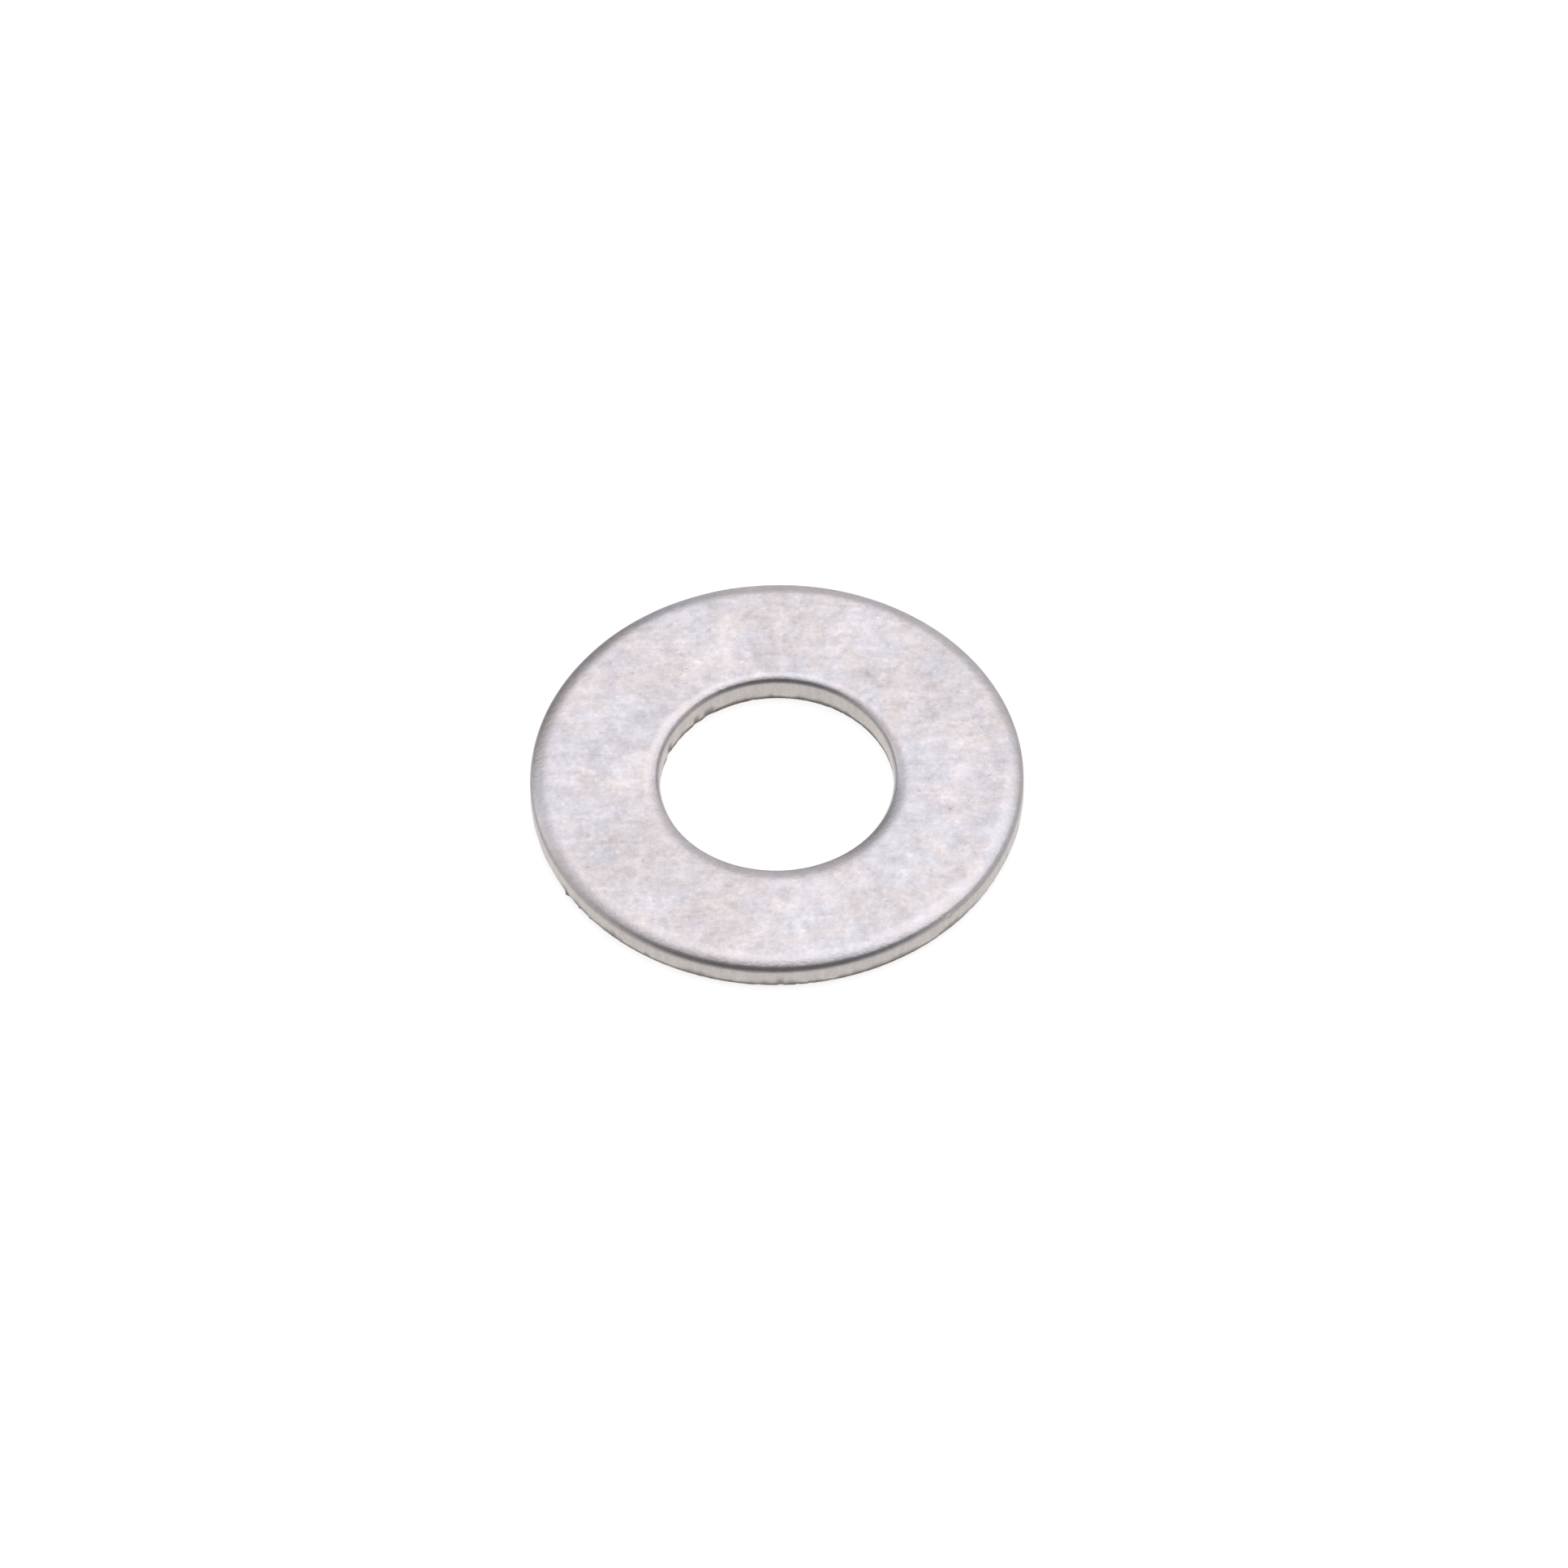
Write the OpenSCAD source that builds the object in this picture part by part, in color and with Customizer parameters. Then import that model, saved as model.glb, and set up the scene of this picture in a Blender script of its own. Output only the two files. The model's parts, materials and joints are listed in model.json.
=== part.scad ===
// Flat washer for an M3.5 screw, stamped from stainless sheet in one piece.
// Millimetres. The washer lies flat: +Z is the screw's axis, Z = 0 is the lower bearing face,
// and the origin is on the axis. The tool rolls both top edges over and breaks out at the bottom.

/* [Washer] */
// Outside diameter, over the smooth part of the rim
outside_d = 8; // [7:0.1:9]
// Hole diameter, in the smooth part of its wall
hole_d = 3.8; // [3:0.1:4.6]
// Thickness between the two bearing faces
thickness = 0.5; // [0.45:0.05:0.8]

/* [Rolled top edges] */
// Radius of the rim's gentle curve, next to the face
rim_face_curve = 0.6; // [0.5:0.02:0.7]
// Radius of the rim's shoulder, between its other two curves
rim_shoulder_curve = 0.15; // [0.1:0.01:0.2]
// Radius of the rim's tight curve, next to the wall
rim_wall_curve = 0.11; // [0.05:0.01:0.14]
// Radius of the hole's gentle curve, next to the face
hole_face_curve = 0.76; // [0.5:0.02:0.8]
// Radius of the hole's shoulder, a tight bend between its other two curves
hole_shoulder_curve = 0.04; // [0.03:0.01:0.06]
// Radius of the hole's long curve, next to the wall
hole_wall_curve = 0.3; // [0.2:0.01:0.3]
// Slope in degrees at which a gentle curve passes into the shoulder
face_slope = 25; // [20:1:26]
// Slope in degrees at which a shoulder passes into the curve next to the wall
wall_slope = 50; // [48:1:55]

/* [Broken lower walls] */
// Height of the rough band where the sheet broke instead of shearing
break_h = 0.1; // [0.05:0.01:0.12]
// How far the rim's lower edge stands in from the smooth wall
rim_break = 0.03; // [0.01:0.005:0.06]
// How far the hole's lower edge stands out from the smooth wall
hole_break = 0.01; // [0.005:0.005:0.04]

/* [Hidden] */
$fn = 180;
rim_r = outside_d / 2;
hole_r = hole_d / 2;
rim_curves = [rim_face_curve, rim_shoulder_curve, rim_wall_curve];
hole_curves = [hole_face_curve, hole_shoulder_curve, hole_wall_curve];
slopes = [0, face_slope, wall_slope, 90];
arc_steps = 4;

// The way a curve of the section goes from slope a to slope b: [in from the wall, down from the face]
function arc_span(radius, a, b) = radius * [sin(b) - sin(a), cos(a) - cos(b)];

// The same for the whole rolled edge, from its curve i to the wall
function edge_span(curves, i = 0) =
    i == len(curves) ? [0, 0] : arc_span(curves[i], slopes[i], slopes[i + 1]) + edge_span(curves, i + 1);

// Points of a rolled edge, from the face down to the top of its wall.
// side is 1 where the edge falls towards the rim and -1 where it falls towards the hole.
function rolled_edge(wall_x, side, curves) = concat(
    [[wall_x - side * edge_span(curves).x, thickness]],
    [for (i = [0:len(curves) - 1], step = [1:arc_steps])
        let (slope = slopes[i] + (slopes[i + 1] - slopes[i]) * step / arc_steps)
        let (left = arc_span(curves[i], slope, slopes[i + 1]) + edge_span(curves, i + 1))
        [wall_x - side * left.x, thickness - edge_span(curves).y + left.y]]
);

function reversed(points) = [for (i = [len(points) - 1:-1:0]) points[i]];

// Section of the ring: X is the radius and Y the height
module section() {
    polygon(concat(
        [[hole_r + hole_break, 0], [rim_r - rim_break, 0], [rim_r, break_h]],
        reversed(rolled_edge(rim_r, 1, rim_curves)),
        rolled_edge(hole_r, -1, hole_curves),
        [[hole_r, break_h]]
    ));
}

// The washer itself, one stamped ring
module washer() {
    color("gainsboro") rotate_extrude() section();
}

washer();
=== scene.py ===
import json
import math
import random

import bpy
from mathutils import Matrix, Vector, noise


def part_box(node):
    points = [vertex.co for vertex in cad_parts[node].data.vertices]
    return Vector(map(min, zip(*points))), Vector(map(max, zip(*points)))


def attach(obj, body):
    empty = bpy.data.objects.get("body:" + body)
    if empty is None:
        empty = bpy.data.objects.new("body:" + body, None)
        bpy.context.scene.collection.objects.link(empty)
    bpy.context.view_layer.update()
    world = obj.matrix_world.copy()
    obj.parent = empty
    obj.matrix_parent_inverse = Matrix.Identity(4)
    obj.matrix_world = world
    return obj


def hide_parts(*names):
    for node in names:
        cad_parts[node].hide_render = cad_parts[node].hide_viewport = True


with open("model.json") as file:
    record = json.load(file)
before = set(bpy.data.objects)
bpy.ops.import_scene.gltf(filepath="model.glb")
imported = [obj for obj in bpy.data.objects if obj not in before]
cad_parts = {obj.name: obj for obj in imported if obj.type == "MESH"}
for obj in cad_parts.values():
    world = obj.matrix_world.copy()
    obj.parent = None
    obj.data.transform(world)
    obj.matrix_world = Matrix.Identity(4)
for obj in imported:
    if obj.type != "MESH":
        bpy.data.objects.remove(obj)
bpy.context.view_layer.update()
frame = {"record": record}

# The flat washer: one stamped ring of stainless sheet. The CAD node gives its size, and a dense ring with
# the rolled edges, sheared walls, torn lower edges, chips, burrs and pits replaces it. Lengths are in metres.

MM = 0.001

# ---------------------------------------------------------------------------- sizes from the frame

_, washer_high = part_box("washer")
RIM_R = washer_high[0]
THICKNESS = washer_high[2]
MOUNTS = {mount["name"]: mount for mount in frame["record"]["mounts"]}
HOLE_R = MOUNTS["screw_hole"]["dims"]["r_mm"] * MM

# ---------------------------------------------------------------------------- shape of the section

# Rolled edges: radii of the three curves from the face to the wall, and the slopes between them.
# The punch stood a little off the die's centre, so the hole's roll is tighter at the back.
RIM_CURVES = (0.60 * MM, 0.15 * MM, 0.11 * MM)
HOLE_CURVES = (0.76 * MM, 0.04 * MM, 0.30 * MM)
HOLE_BACK_CURVES = (0.30 * MM, 0.10 * MM, 0.10 * MM)
CURVE_SLOPES = (0.0, math.radians(25), math.radians(50), math.radians(90))
CURVE_STEPS = (8, 5, 8)
# The roll is fully burnished from this point of its gentle curve on
ROLLED_AT = 4

# Broken band at the foot of the walls, and the small radius where it meets the lower face
BREAK_H = 0.10 * MM
RIM_BREAK = 0.03 * MM
HOLE_BREAK = 0.01 * MM
BREAK_CURVE = 0.8
CORNER_R = 0.012 * MM

# Height of the dark line at the foot of the rim and of the hole's wall, which is partly torn metal and partly
# painted shade where the ring meets the floor, the share of it that is always there, and how far up it fades,
# in its own heights
RIM_TORN_SHADE_H = 0.100 * MM
HOLE_TORN_SHADE_H = 0.075 * MM
TORN_SHADE_LEAST = 0.2
TORN_SHADE_FADE = 1.6

# Number of faces round the ring, across the two flat faces, and up each band of the walls
TURN_STEPS = 640
TOP_STEPS = 40
BOTTOM_STEPS = 26
SHEARED_STEPS = 5
BROKEN_STEPS = 9
CORNER_STEPS = 3

# ---------------------------------------------------------------------------- unevenness of the metal

# Depths of the faces' mottling, of the walls' drag lines and of the broken grain
RELIEF = 0.0010 * MM
DRAG = 0.0015 * MM
GRAIN = 0.0045 * MM
# Mean depth of the mottling, in units of RELIEF
MOTTLING_MEAN = 1.5
# Layers of noise: the size of a bump, its weight, and the layer's seed
MOTTLING = ((1.1 * MM, 1.0, 0), (0.42 * MM, 0.6, 1), (0.19 * MM, 0.35, 2))
ROLL_WIDTH = ((3.2 * MM, 0.08, 4), (0.7 * MM, 0.03, 9))
DRAG_LINES = ((0.35 * MM, 1.0, 20), (0.12 * MM, 0.7, 22))
RAGGED_BREAK = ((0.9 * MM, 0.26, 2), (0.22 * MM, 0.16, 6))
# The ragged height of the foot's dark line: torn metal and painted contact shade
TORN_SHADE_LINE = ((0.30 * MM, 0.6, 30), (0.11 * MM, 0.4, 32))
BROKEN_GRAIN = ((0.08 * MM, 1.0, 12), (0.04 * MM, 0.5, 15))
UPPER_SEED = 1
LOWER_SEED = 11
SEED_STEP = Vector((7.3, 3.1, 5.7))

# Chips out of the foot of a wall: angle and half width in degrees, height and depth in millimetres
RIM_CHIPS = ((265, 0.8, 0.05, 0.012), (270, 1.0, 0.08, 0.018), (274, 0.6, 0.05, 0.012),
             (277, 0.9, 0.05, 0.012))
HOLE_CHIPS = ((125, 4.2, 0.08, 0.018), (133, 2.6, 0.08, 0.014), (156, 3.6, 0.10, 0.020),
              (62, 1.6, 0.04, 0.010), (101, 1.8, 0.04, 0.010))
# The dark stain over a chip, torn metal and painted shade in the chip's hollow, rises this many times the
# chip's own height, and is full over its middle
STAIN_SHADE_RISE = 3.5
STAIN_SHADE_STRENGTH = 1.8
# Burrs that stand out of the foot of the rim: angle and half width in degrees, height and stand in mm
RIM_BURRS = ((211, 1.0, 0.08, 0.035), (216, 0.6, 0.06, 0.018), (220, 0.5, 0.05, 0.014))
NO_MARK = (0.0, MM, 0.0)

# A nick where the rim's roll meets its wall: angle and half width in degrees and depth in millimetres, then
# where it is deepest and how far it reaches, as shares of the way down the roll's steep part
ROLL_NICK = (313, 0.9, 0.022)
NICK_PLACE = 0.75
NICK_REACH = 0.45

# The deeper pits in the upper face: x, y, radius and depth in millimetres
PITS = ((-2.9, -0.8, 0.08, 0.004), (-2.1, 1.8, 0.06, 0.003), (-2.9, 0.7, 0.07, 0.003),
        (-2.0, -2.6, 0.06, 0.004), (-0.8, -2.3, 0.09, 0.004), (1.5, 1.3, 0.06, 0.004),
        (1.5, 2.0, 0.06, 0.003), (3.0, 0.4, 0.05, 0.003), (-3.4, -0.6, 0.05, 0.003))
# A pit this deep looks darkest
DARKEST_PIT = 0.004 * MM
# Small pits are scattered at random, clear of the hole's roll and of the rim's
SMALL_PITS = 90
SMALL_PIT_R = (0.035 * MM, 0.065 * MM)
SMALL_PIT_DEPTH = (0.0008 * MM, 0.0022 * MM)
HOLE_MARGIN = 0.30 * MM
RIM_MARGIN = 0.35 * MM


def wave(place, size, seed):
    """Smooth noise from -1 to 1 at a place, with bumps about `size` metres across."""
    return noise.noise(place / size + SEED_STEP * seed)


def waves(place, layers, seed):
    """Layers of smooth noise, added up by their weights."""
    return sum(weight * wave(place, size, seed + own) for size, weight, own in layers)


def hump(distance, reach):
    """A smooth hump: 1 at no distance, 0 from `reach` outwards."""
    share = min(1.0, abs(distance) / reach)
    return (1 - share * share) ** 2


def outward(angle):
    """The way out from the centre at an angle."""
    return Vector((math.cos(angle), math.sin(angle), 0.0))


def angle_apart(first, second):
    """Degrees between two directions round the ring."""
    return abs((first - second + 180) % 360 - 180)


def mottling(place, seed):
    """Depth of a face's unevenness below its highest point."""
    return RELIEF * (MOTTLING_MEAN + waves(place, MOTTLING, seed))


def foot_mark(degrees, marks):
    """The chip or burr that lies at an angle: its strength, height and depth."""
    for centre, half_width, height, depth in marks:
        apart = angle_apart(degrees, centre)
        if apart < half_width:
            return hump(apart, half_width), height * MM, depth * MM
    return NO_MARK


def scatter_pits():
    """The pits of the upper face as (place, radius, depth), the deeper ones first."""
    pits = [(Vector((x, y, 0)) * MM, radius * MM, depth * MM) for x, y, radius, depth in PITS]
    draw = random.Random(7)
    for _ in range(SMALL_PITS):
        angle = draw.uniform(0, 2 * math.pi)
        place = outward(angle) * draw.uniform(HOLE_R + HOLE_MARGIN, RIM_R - RIM_MARGIN)
        pits.append((place, draw.uniform(*SMALL_PIT_R), draw.uniform(*SMALL_PIT_DEPTH)))
    return pits


ALL_PITS = scatter_pits()


def pits_near(angle):
    """The pits that one section of the ring can cross."""
    along = outward(angle)
    across = outward(angle + math.pi / 2)
    return [pit for pit in ALL_PITS if abs(pit[0].dot(across)) < pit[1] and pit[0].dot(along) > 0]


# ---------------------------------------------------------------------------- the ring's surface

def arc_span(radius, low_slope, high_slope):
    """How far a curve goes in from the wall and down from the face between two slopes."""
    return (radius * (math.sin(high_slope) - math.sin(low_slope)),
            radius * (math.cos(low_slope) - math.cos(high_slope)))


def rolled_edge(curves):
    """Points of a rolled edge, face to wall, as distances in from the wall and below the face."""
    spans = [arc_span(r, a, b) for r, a, b in zip(curves, CURVE_SLOPES, CURVE_SLOPES[1:])]
    inset = sum(span[0] for span in spans)
    drop = 0.0
    points = [(inset, drop)]
    for radius, low, high, steps, span in zip(curves, CURVE_SLOPES, CURVE_SLOPES[1:], CURVE_STEPS, spans):
        for step in range(1, steps + 1):
            across, down = arc_span(radius, low, low + (high - low) * step / steps)
            points.append((inset - across, drop + down))
        inset -= span[0]
        drop += span[1]
    return points


def hole_edge(angle):
    """The hole's rolled edge at one angle, which passes smoothly from the front's roll to the back's."""
    back = (1 + math.sin(angle)) / 2
    back *= back * (3 - 2 * back)
    return rolled_edge([(1 - back) * a + back * b for a, b in zip(HOLE_CURVES, HOLE_BACK_CURVES)])


RIM_EDGE = rolled_edge(RIM_CURVES)
# What the finish of each point is, and where shade is painted at the foot, as the names of the mesh's
# attributes
MASKS = ("rolled", "wall", "broken", "torn", "pit")


class Section:
    """One closed section of the ring: places as (radius, height), and masks for the metal's finish and for
    the shade painted at its foot.
    """

    def __init__(self):
        self.points = []
        self.masks = []

    def add(self, radius, height, rolled=1.0, wall=0.0, broken=0.0, torn=0.0, pit=0.0):
        self.points.append((radius, height))
        self.masks.append((rolled, wall, broken, torn, pit))


class Wall:
    """What the wall of the rim or of the hole is like at one angle. side is 1 on the rim, -1 in the hole."""

    def __init__(self, radius, side, angle):
        self.radius = radius
        self.side = side
        self.degrees = math.degrees(angle)
        self.compass = outward(angle)
        self.spot = self.compass * radius
        self.drag = max(0.0, DRAG * waves(self.spot, DRAG_LINES, side))
        self.break_top = BREAK_H * (1 + waves(self.spot, RAGGED_BREAK, side))
        self.chip = foot_mark(self.degrees, RIM_CHIPS if side > 0 else HOLE_CHIPS)
        self.burr = foot_mark(self.degrees, RIM_BURRS if side > 0 else ())
        usual_h = RIM_TORN_SHADE_H if side > 0 else HOLE_TORN_SHADE_H
        torn_shade_h = usual_h * (1 + waves(self.spot, TORN_SHADE_LINE, side))
        self.torn_shade_reach = TORN_SHADE_FADE * max(torn_shade_h, TORN_SHADE_LEAST * usual_h)

    def torn(self, height):
        """How dark the metal is painted at a height, for torn metal and for shade: by the foot's dark line,
        where the ring meets the floor, or by a chip's stain in its hollow.
        """
        chip, chip_h, _ = self.chip
        # Torn metal and painted shade in the chip's hollow
        stain_and_shade = min(1.0, STAIN_SHADE_STRENGTH * chip) * hump(height, STAIN_SHADE_RISE * chip_h)
        return max(hump(height, self.torn_shade_reach), stain_and_shade)

    def recess(self, height):
        """How far in a chip takes the foot at a height. A burr brings it out instead."""
        chip, chip_h, chip_depth = self.chip
        burr, burr_h, burr_stand = self.burr
        return chip * chip_depth * hump(height, chip_h) - burr * burr_stand * hump(height, burr_h)


def add_roll(section, wall, edge):
    """Adds the roll, with the face's mottling fading out down its steep part."""
    width = 1 + waves(wall.spot, ROLL_WIDTH, wall.side)
    nick_at, nick_half, nick_depth = ROLL_NICK
    nick = hump(angle_apart(wall.degrees, nick_at), nick_half) if wall.side > 0 else 0.0
    for number, (inset, drop) in enumerate(edge):
        steep = max(0.0, (number - CURVE_STEPS[0]) / (len(edge) - 1 - CURVE_STEPS[0]))
        radius = wall.radius - wall.side * (inset * width + wall.drag * steep)
        height = THICKNESS - drop * width - mottling(wall.compass * radius, UPPER_SEED) * (1 - steep)
        radius -= nick * hump(steep - NICK_PLACE, NICK_REACH) * nick_depth * MM
        section.add(radius, height, rolled=min(1.0, number / ROLLED_AT), wall=steep)


def add_sheared_band(section, wall):
    """Adds the smooth sheared band, painted darker towards the foot for torn metal and for shade where the
    ring meets the floor.
    """
    top = section.points[-1][1]
    for step in range(1, SHEARED_STEPS + 1):
        height = top + (wall.break_top - top) * step / SHEARED_STEPS
        section.add(wall.radius - wall.side * wall.drag, height, wall=1.0, torn=wall.torn(height))


def add_broken_band(section, wall, break_in):
    """Adds the broken band, with its chips and burrs, and the corner's radius."""
    for step in range(1, BROKEN_STEPS + CORNER_STEPS + 1):
        share = min(1.0, step / BROKEN_STEPS)
        turned = max(0, step - BROKEN_STEPS) / CORNER_STEPS * math.pi / 2
        height = CORNER_R + (wall.break_top - CORNER_R) * (1 - share) - CORNER_R * math.sin(turned)
        grain = waves(Vector((wall.spot.x, wall.spot.y, height)), BROKEN_GRAIN, wall.side)
        recess = wall.drag + break_in * share ** BREAK_CURVE + GRAIN * grain * min(1.0, 3 * share)
        recess += wall.recess(height) + CORNER_R * (1 - math.cos(turned))
        section.add(wall.radius - wall.side * recess, height, wall=1.0, broken=min(1.0, 4 * share),
                    torn=wall.torn(height))


def wall_section(radius, side, edge, break_in, angle):
    """One wall, from the top of its roll to the lower face."""
    section = Section()
    wall = Wall(radius, side, angle)
    add_roll(section, wall, edge)
    add_sheared_band(section, wall)
    add_broken_band(section, wall, break_in)
    return section


def add_upper_face(section, low, high, angle):
    """Adds the upper face between two radii, with its mottling and pits."""
    near = pits_near(angle)
    for step in range(1, TOP_STEPS):
        radius = low + (high - low) * step / TOP_STEPS
        place = outward(angle) * radius
        depth = mottling(place, UPPER_SEED)
        darkest = 0.0
        for centre, reach, pit_depth in near:
            dip = pit_depth * hump((place - centre).length, reach)
            depth += dip
            darkest = max(darkest, dip / DARKEST_PIT)
        section.add(radius, THICKNESS - depth, rolled=0.0, pit=min(1.0, darkest))


def add_lower_face(section, high, low, angle):
    """Adds the lower face between two radii. Its mottling fades towards both edges."""
    for step in range(1, BOTTOM_STEPS):
        share = step / BOTTOM_STEPS
        radius = high + (low - high) * share
        height = mottling(outward(angle) * radius, LOWER_SEED) * hump(2 * share - 1, 1.0)
        section.add(radius, height, rolled=0.0)


def ring_section(angle):
    """The whole closed section at one angle: up the hole's wall, out, down the rim and back below."""
    rim = wall_section(RIM_R, 1, RIM_EDGE, RIM_BREAK, angle)
    hole = wall_section(HOLE_R, -1, hole_edge(angle), HOLE_BREAK, angle)
    ring = Section()
    ring.points += hole.points[::-1]
    ring.masks += hole.masks[::-1]
    add_upper_face(ring, hole.points[0][0], rim.points[0][0], angle)
    ring.points += rim.points
    ring.masks += rim.masks
    add_lower_face(ring, rim.points[-1][0], hole.points[-1][0], angle)
    return ring


def ring_mesh(name):
    """Revolves the section, with its small irregularities, into one closed mesh."""
    vertices, masks, faces = [], [], []
    for turn in range(TURN_STEPS):
        angle = 2 * math.pi * turn / TURN_STEPS
        section = ring_section(angle)
        vertices += [(r * math.cos(angle), r * math.sin(angle), z) for r, z in section.points]
        masks += section.masks
    count = len(vertices) // TURN_STEPS
    for turn in range(TURN_STEPS):
        here, after = turn * count, (turn + 1) % TURN_STEPS * count
        for i in range(count):
            j = (i + 1) % count
            faces.append((here + i, here + j, after + j, after + i))
    mesh = bpy.data.meshes.new(name)
    mesh.from_pydata(vertices, [], faces)
    mesh.shade_smooth()
    for number, label in enumerate(MASKS):
        layer = mesh.attributes.new(label, "FLOAT", "POINT")
        layer.data.foreach_set("value", [mask[number] for mask in masks])
    mesh.update()
    return mesh


# ---------------------------------------------------------------------------- material

FACE_PINK = (0.728, 0.676, 0.680)
FACE_BLUE = (0.696, 0.678, 0.718)
WALL_COLOUR = (0.528, 0.494, 0.464)
BROKEN_COLOUR = (0.490, 0.450, 0.408)
# Dark colour of the foot's line and of the chips' stains: torn metal, and painted shade where the ring meets
# the floor and in the chips' hollows
TORN_AND_SHADE_COLOUR = (0.080, 0.066, 0.058)
# The burnished rolls show this share of the faces' mottling, and are painted this much darker as shade for
# the dimmer light that their curves mirror
ROLL_MOTTLING = 0.5
ROLL_PAINTED_SHADE = 0.07
ROLL_ROUGHNESS = 0.26
BROKEN_ROUGHNESS = 0.50
TORN_ROUGHNESS = 0.65
# Weights of the faces' patterns. Each pattern's mean is a half, so half their sum is the mottling's mean.
CLOUDS, BLOTCHES, SPECKLE, METAL_GRAIN, ROLLING = 0.34, 0.56, 0.50, 0.26, 0.20
PATTERNS_MEAN = (CLOUDS + BLOTCHES + SPECKLE + METAL_GRAIN + ROLLING) / 2
# The sheet was rolled nearly along X, which leaves faint streaks at this tilt in radians
ROLLING_TILT = 0.12
BUMP_DEPTH = 0.004 * MM


class Nodes:
    """Small helper that adds and links shader nodes."""

    def __init__(self, tree):
        self.tree = tree

    def add(self, kind, inputs=None, **settings):
        node = self.tree.nodes.new(kind)
        for key, value in settings.items():
            setattr(node, key, value)
        for key, value in (inputs or {}).items():
            self.feed(node.inputs[key], value)
        return node

    def feed(self, socket, value):
        """Links a socket to another node's output, or sets it."""
        if isinstance(value, bpy.types.NodeSocket):
            self.tree.links.new(value, socket)
        else:
            socket.default_value = value

    def noise(self, place, scale, detail=3.0, rough=0.6):
        return self.add("ShaderNodeTexNoise", {"Vector": place, "Scale": scale, "Detail": detail,
                                               "Roughness": rough}).outputs["Fac"]

    def remap(self, value, low, high, to_low, to_high):
        return self.add("ShaderNodeMapRange", {"Value": value, "From Min": low, "From Max": high,
                                               "To Min": to_low, "To Max": to_high}).outputs["Result"]

    def maths(self, operation, *values):
        return self.add("ShaderNodeMath", dict(enumerate(values)), operation=operation).outputs[0]

    def total(self, *terms):
        """Adds up (value, weight) pairs."""
        result = 0.0
        for value, weight in terms:
            result = self.maths("MULTIPLY_ADD", value, weight, result)
        return result

    def level(self, factor, first, second):
        return self.add("ShaderNodeMix", {"Factor": factor, "A": first, "B": second}).outputs[0]

    def blend(self, factor, first, second):
        """Mixes two colours."""
        mix = self.add("ShaderNodeMix", {"Factor": factor}, data_type="RGBA")
        for key, value in (("A", first), ("B", second)):
            socket = next(s for s in mix.inputs if s.name == key and s.type == "RGBA")
            self.feed(socket, value if isinstance(value, bpy.types.NodeSocket) else (*value, 1))
        return next(s for s in mix.outputs if s.type == "RGBA")

    def shade(self, colour, lightness):
        """Makes a colour lighter or darker."""
        scaled = self.add("ShaderNodeVectorMath", {0: colour, "Scale": lightness}, operation="SCALE")
        return scaled.outputs[0]

    def stretched(self, place, scale, tilt=0.0):
        return self.add("ShaderNodeMapping", {"Vector": place, "Rotation": (0, 0, tilt),
                                              "Scale": scale}).outputs[0]

    def mask(self, label):
        return self.add("ShaderNodeAttribute", attribute_name=label).outputs["Fac"]


class Metal:
    """The steel's patterns, from the broadest to the finest, and the masks of the ring's finish."""

    def __init__(self, nodes):
        place = nodes.add("ShaderNodeTexCoord").outputs["Object"]
        place = nodes.shade(place, 1 / MM)
        streaks = nodes.stretched(place, (0.22, 1.6, 1.0), ROLLING_TILT)
        upright = nodes.stretched(place, (1.0, 1.0, 0.10))
        self.clouds = nodes.noise(place, 1.1, rough=0.55)
        self.blotches = nodes.noise(place, 4.2)
        self.rolling = nodes.noise(streaks, 6.0)
        self.spots = nodes.noise(place, 8.0, detail=2.0, rough=0.5)
        self.speckle = nodes.noise(place, 13.0, rough=0.62)
        self.drag = nodes.noise(upright, 14.0)
        self.rubble = nodes.noise(place, 24.0, rough=0.65)
        self.grain = nodes.noise(place, 42.0, detail=2.0)
        self.tint = nodes.total((nodes.noise(place, 3.1), 1.0), (nodes.noise(place, 0.7, 1.0, 0.5), 0.7),
                                (1.0, -0.35))
        self.rolled, self.wall, self.broken, self.torn, self.pit = [nodes.mask(label) for label in MASKS]
        self.broken_rubble = nodes.maths("MULTIPLY", self.rubble, self.broken)


def face_colour(nodes, metal):
    """Pale steel, clouded and speckled, with a hint of pink and blue."""
    mottled = nodes.total((metal.clouds, CLOUDS), (metal.blotches, BLOTCHES), (metal.speckle, SPECKLE),
                          (metal.grain, METAL_GRAIN), (metal.rolling, ROLLING))
    bright_spots = nodes.remap(metal.speckle, 0.60, 0.74, 0, 0.10)
    dark_spots = nodes.remap(metal.spots, 0.38, 0.26, 0, -0.14)
    uneven = nodes.total((mottled, 1.0), (bright_spots, 1.0), (dark_spots, 1.0), (metal.pit, -0.20),
                         (1.0, -PATTERNS_MEAN))
    strength = nodes.remap(metal.rolled, 0, 1, 1.0, ROLL_MOTTLING)
    # The rolls are painted darker, as shade for the dimmer light on their curves
    lightness = nodes.total((uneven, strength), (metal.rolled, -ROLL_PAINTED_SHADE), (1.0, 1.0))
    tinted = nodes.blend(nodes.remap(metal.tint, 0.36, 0.64, 0, 1), FACE_PINK, FACE_BLUE)
    return nodes.shade(tinted, lightness)


def wall_colour(nodes, metal):
    """Warmer, duller steel with drag lines, and rougher and darker where it broke."""
    lightness = nodes.total((metal.drag, 0.26), (metal.rubble, 0.50), (metal.broken_rubble, 0.30),
                            (metal.broken, -0.15), (1.0, 0.62))
    return nodes.shade(nodes.blend(metal.broken, WALL_COLOUR, BROKEN_COLOUR), lightness)


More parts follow.
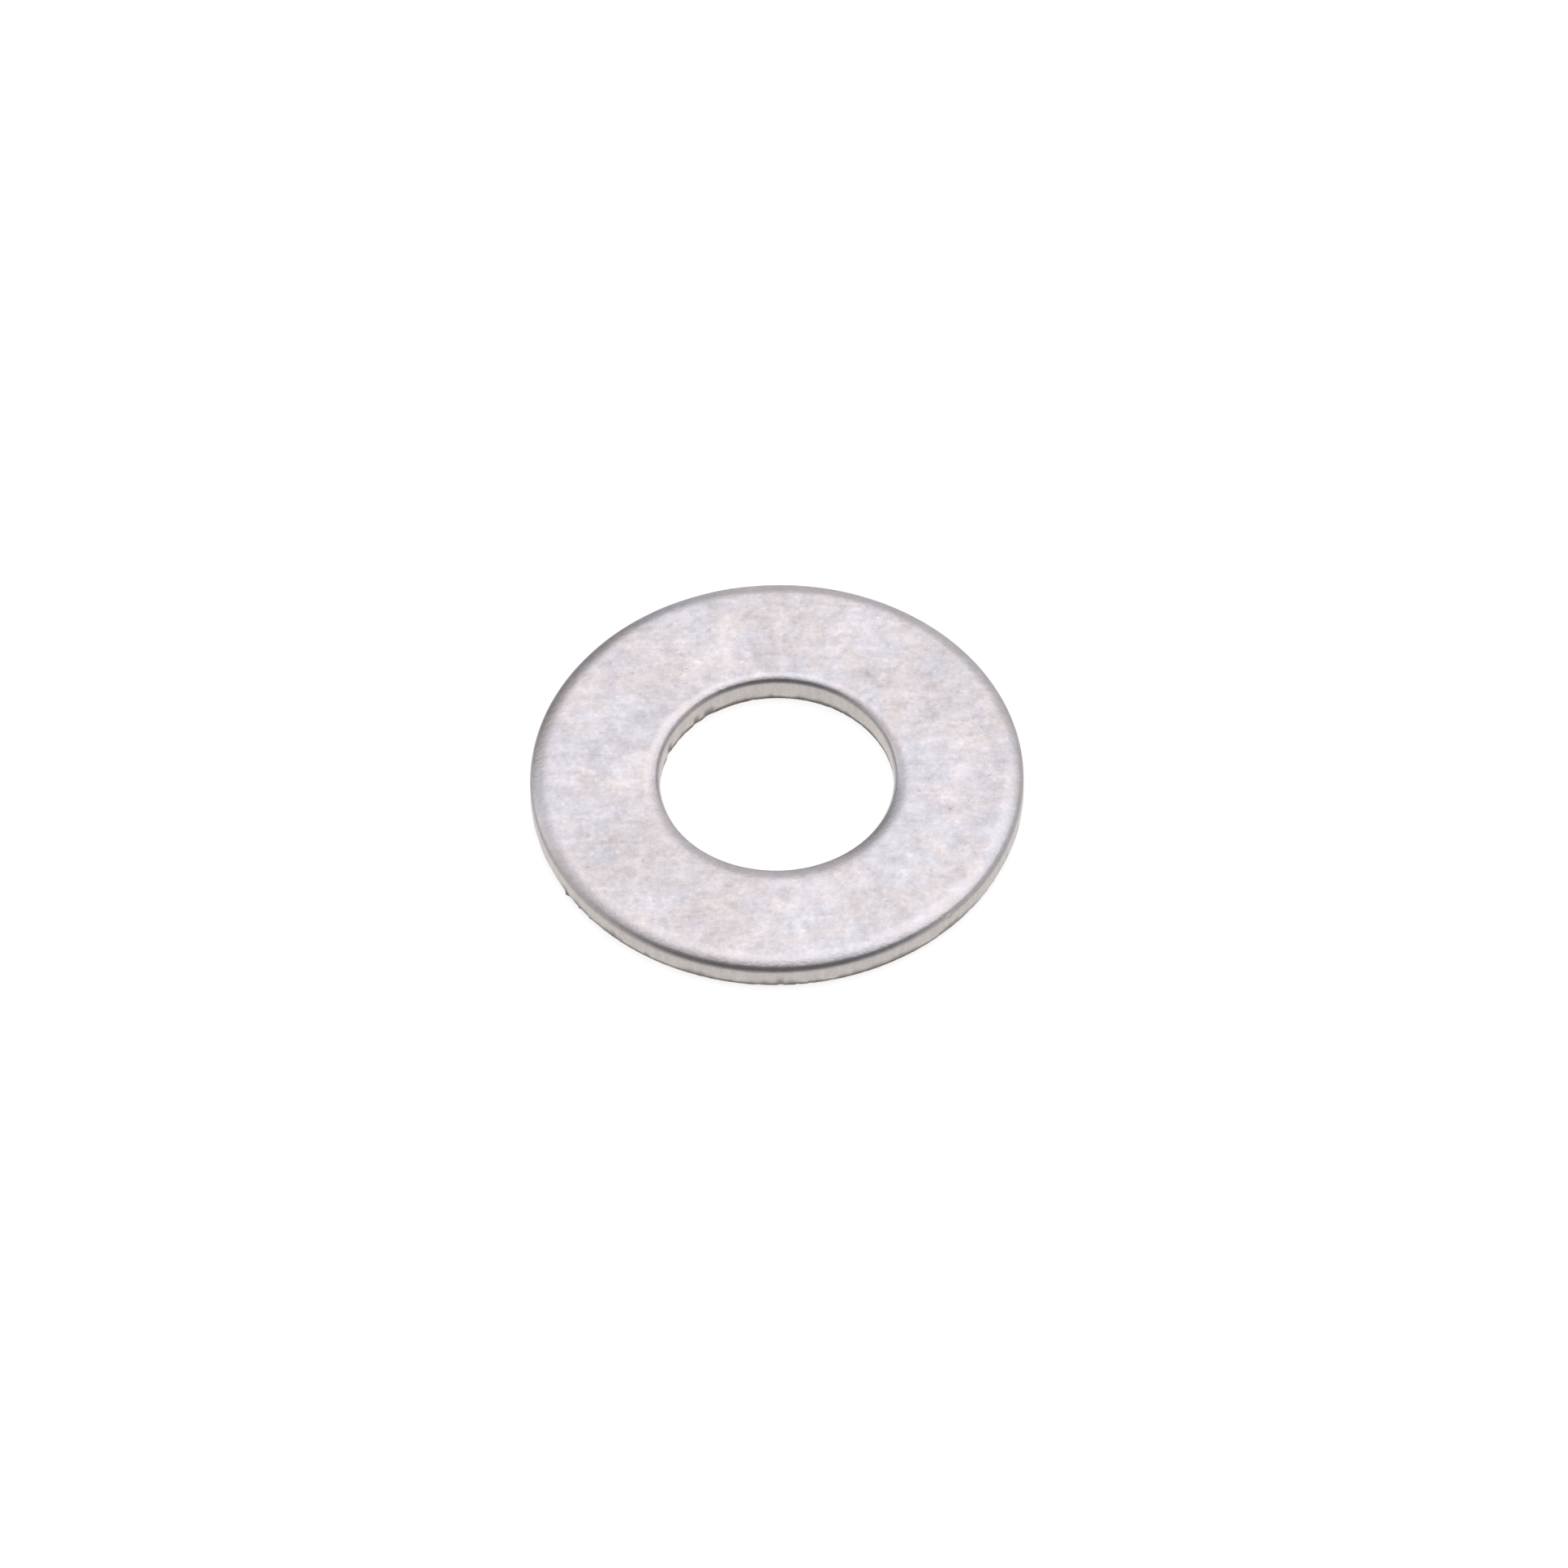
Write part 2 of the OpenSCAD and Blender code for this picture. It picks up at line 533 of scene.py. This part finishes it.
def roughness(nodes, metal):
    """The rolls and the sheared walls are smoother than the tumbled faces, and broken metal is rougher."""
    face = nodes.total((metal.clouds, -0.12), (metal.speckle, 0.10), (1.0, 0.43))
    wall = nodes.total((metal.drag, -0.10), (1.0, 0.38))
    rough = nodes.level(metal.wall, nodes.level(metal.rolled, face, ROLL_ROUGHNESS), wall)
    return nodes.level(metal.torn, nodes.level(metal.broken, rough, BROKEN_ROUGHNESS), TORN_ROUGHNESS)


def fine_relief(nodes, metal):
    heights = nodes.total((metal.speckle, 1.6), (metal.grain, 1.0), (metal.rolling, 0.8),
                          (metal.blotches, 2.0), (metal.broken_rubble, 2.0))
    bump = nodes.add("ShaderNodeBump", {"Height": heights, "Strength": 0.5, "Distance": BUMP_DEPTH})
    return bump.outputs["Normal"]


def stainless():
    material = bpy.data.materials.new("stainless_steel")
    material.use_nodes = True
    steel = material.node_tree.nodes["Principled BSDF"]
    nodes = Nodes(material.node_tree)
    metal = Metal(nodes)
    colour = nodes.blend(metal.wall, face_colour(nodes, metal), wall_colour(nodes, metal))
    # Torn metal is dark and dull: its rubble is too fine and deep to mirror anything. This dark, dull colour
    # is also painted shade where the ring meets the floor and in the chips' hollows
    dull_and_shaded = nodes.maths("MULTIPLY", metal.torn, nodes.remap(metal.rubble, 0.35, 0.6, 0.7, 1.0))
    nodes.feed(steel.inputs["Base Color"], nodes.blend(dull_and_shaded, colour, TORN_AND_SHADE_COLOUR))
    nodes.feed(steel.inputs["Metallic"], nodes.maths("SUBTRACT", 1.0, dull_and_shaded))
    nodes.feed(steel.inputs["Roughness"], roughness(nodes, metal))
    nodes.feed(steel.inputs["Normal"], fine_relief(nodes, metal))
    return material


def washer_piece():
    mesh = ring_mesh("stamped_ring")
    piece = bpy.data.objects.new("stamped_ring", mesh)
    bpy.context.collection.objects.link(piece)
    mesh.materials.append(stainless())
    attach(piece, "root")
    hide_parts("washer")
    return piece


# ---------------------------------------------------------------------------- studio

FLOOR_R = 400 * RIM_R
FLOOR_GREY = 0.35
FLOOR_GLOW = 0.78
FLOOR_ROUGHNESS = 0.9
# The floor's plate reaches this far under the ring, and is open below the rest of it
FLOOR_LIP = 0.2 * MM
FLOOR_SIDES = 128
OVERHEAD_SIZE = 60 * RIM_R
OVERHEAD_HEIGHT = 50 * RIM_R
OVERHEAD_RADIANCE = 1.2
STUDIO_TINT = (1.0, 0.985, 1.0)
ROOM_RADIANCE = 0.66
# The camera sees this plain backdrop beyond the floor, and the metal mirrors the studio's panels
BACKDROP = (1.0, 1.0, 1.0)
# Panels of the studio, each laid over the last: azimuth and height of the centre, and inner and outer radius,
# all in degrees, then how much narrower the panel is along X, and its radiance. Azimuth 0 is +X and 90 is +Y.
TABLE_PANEL = (0, -90, 35, 75, 1.0, 1.1)
LEFT_PANEL = (135, 20, 20, 25, 1.0, 1.2)
LAMP_PANEL = (60, 70, 12, 46, 1.0, 1.4)
DARK_FRONT = (268, 40, 7, 62, 0.65, 0.16)
DARK_BACK = (120, 11, 5, 33, 1.3, 0.3)


def circle(radius):
    turns = [2 * math.pi * i / FLOOR_SIDES for i in range(FLOOR_SIDES)]
    return [tuple(outward(turn) * radius) for turn in turns]


def floor_material():
    """A softly glowing pale floor that is seen from above only, so that the underside can be looked at."""
    material = bpy.data.materials.new("pale_floor")
    material.use_nodes = True
    tree = material.node_tree
    nodes = Nodes(tree)
    shader = tree.nodes["Principled BSDF"]
    nodes.feed(shader.inputs["Base Color"], (FLOOR_GREY, FLOOR_GREY, FLOOR_GREY, 1))
    nodes.feed(shader.inputs["Roughness"], FLOOR_ROUGHNESS)
    nodes.feed(shader.inputs["Emission Color"], (1, 1, 1, 1))
    nodes.feed(shader.inputs["Emission Strength"], FLOOR_GLOW)
    clear = nodes.add("ShaderNodeBsdfTransparent").outputs[0]
    below = nodes.add("ShaderNodeNewGeometry").outputs["Backfacing"]
    mix = nodes.add("ShaderNodeMixShader", {0: below, 1: shader.outputs[0], 2: clear})
    nodes.feed(tree.nodes["Material Output"].inputs["Surface"], mix.outputs[0])
    return material


def floor():
    """A disc in the hole and a wide plate round the ring."""
    sides = FLOOR_SIDES
    faces = [tuple(range(sides))]
    for i in range(sides):
        j = (i + 1) % sides
        faces.append((sides + i, 2 * sides + i, 2 * sides + j, sides + j))
    mesh = bpy.data.meshes.new("floor")
    mesh.from_pydata(circle(HOLE_R + FLOOR_LIP) + circle(RIM_R - FLOOR_LIP) + circle(FLOOR_R), [], faces)
    plane = bpy.data.objects.new("floor", mesh)
    bpy.context.collection.objects.link(plane)
    mesh.materials.append(floor_material())
    plane.visible_glossy = False


def overhead_light():
    """A wide soft light for the floor. The metal doesn't mirror it: it mirrors the studio round it."""
    light = bpy.data.lights.new("overhead", "AREA")
    light.shape = "DISK"
    light.size = OVERHEAD_SIZE
    area = math.pi * OVERHEAD_SIZE ** 2 / 4
    light.energy = OVERHEAD_RADIANCE * math.pi * area
    lamp = bpy.data.objects.new("overhead", light)
    bpy.context.collection.objects.link(lamp)
    lamp.location = (0, 0, OVERHEAD_HEIGHT)
    lamp.visible_glossy = False


def panel(nodes, way, colour, azimuth, height, inner, outer, narrow, radiance):
    """Lays a soft-edged panel, lit or dark, over the studio. way is the direction that is looked in."""
    up = math.radians(height)
    squeeze = Vector((narrow, 1, 1))
    centre = (outward(math.radians(azimuth)) * math.cos(up) + Vector((0, 0, math.sin(up)))) * squeeze
    squeezed = nodes.add("ShaderNodeVectorMath", {0: way, 1: squeeze}, operation="MULTIPLY")
    squeezed = nodes.add("ShaderNodeVectorMath", {0: squeezed.outputs[0]}, operation="NORMALIZE").outputs[0]
    near = nodes.add("ShaderNodeVectorMath", {0: squeezed, 1: centre.normalized()}, operation="DOT_PRODUCT")
    edge = nodes.add("ShaderNodeMapRange", {"Value": near.outputs["Value"],
                                            "From Min": math.cos(math.radians(outer)),
                                            "From Max": math.cos(math.radians(inner))},
                     interpolation_type="SMOOTHSTEP")
    return nodes.blend(edge.outputs["Result"], colour, [radiance * c for c in STUDIO_TINT])


def studio():
    floor()
    overhead_light()
    world = bpy.data.worlds.new("studio")
    bpy.context.scene.world = world
    world.use_nodes = True
    nodes = Nodes(world.node_tree)
    way = nodes.add("ShaderNodeTexCoord").outputs["Generated"]
    colour = [ROOM_RADIANCE * c for c in STUDIO_TINT]
    for settings in (TABLE_PANEL, LEFT_PANEL, LAMP_PANEL, DARK_FRONT, DARK_BACK):
        colour = panel(nodes, way, colour, *settings)
    seen = nodes.add("ShaderNodeLightPath").outputs["Is Camera Ray"]
    background = world.node_tree.nodes["Background"]
    nodes.feed(background.inputs["Color"], nodes.blend(seen, colour, BACKDROP))
    nodes.feed(background.inputs["Strength"], 1.0)


# ---------------------------------------------------------------------------- camera

CAMERA_ELEVATION = math.radians(51.8)
CAMERA_ROLL = math.radians(1.0)
CAMERA_DISTANCE = 45.5 * RIM_R
# Width of the picture at the washer, and how far right and up of the washer's origin its middle is
FRAME_WIDTH = 6.36 * RIM_R
AIM_RIGHT = 0.028 * RIM_R
AIM_UP = 0.026 * RIM_R
SENSOR = 36.0


def camera():
    data = bpy.data.cameras.new("camera")
    data.sensor_width = SENSOR
    data.lens = SENSOR * CAMERA_DISTANCE / FRAME_WIDTH
    data.clip_start = 0.1 * RIM_R
    data.clip_end = FLOOR_R
    lens = bpy.data.objects.new("camera", data)
    bpy.context.collection.objects.link(lens)
    back = Vector((0, -math.cos(CAMERA_ELEVATION), math.sin(CAMERA_ELEVATION)))
    level_right = Vector((1, 0, 0))
    level_up = back.cross(level_right)
    right = level_right * math.cos(CAMERA_ROLL) - level_up * math.sin(CAMERA_ROLL)
    up = level_right * math.sin(CAMERA_ROLL) + level_up * math.cos(CAMERA_ROLL)
    place = back * CAMERA_DISTANCE + right * AIM_RIGHT + up * AIM_UP
    lens.matrix_world = Matrix.Translation(place) @ Matrix((right, up, back)).transposed().to_4x4()
    bpy.context.scene.camera = lens


washer_piece()
studio()
camera()
bpy.context.scene.view_settings.view_transform = "Standard"
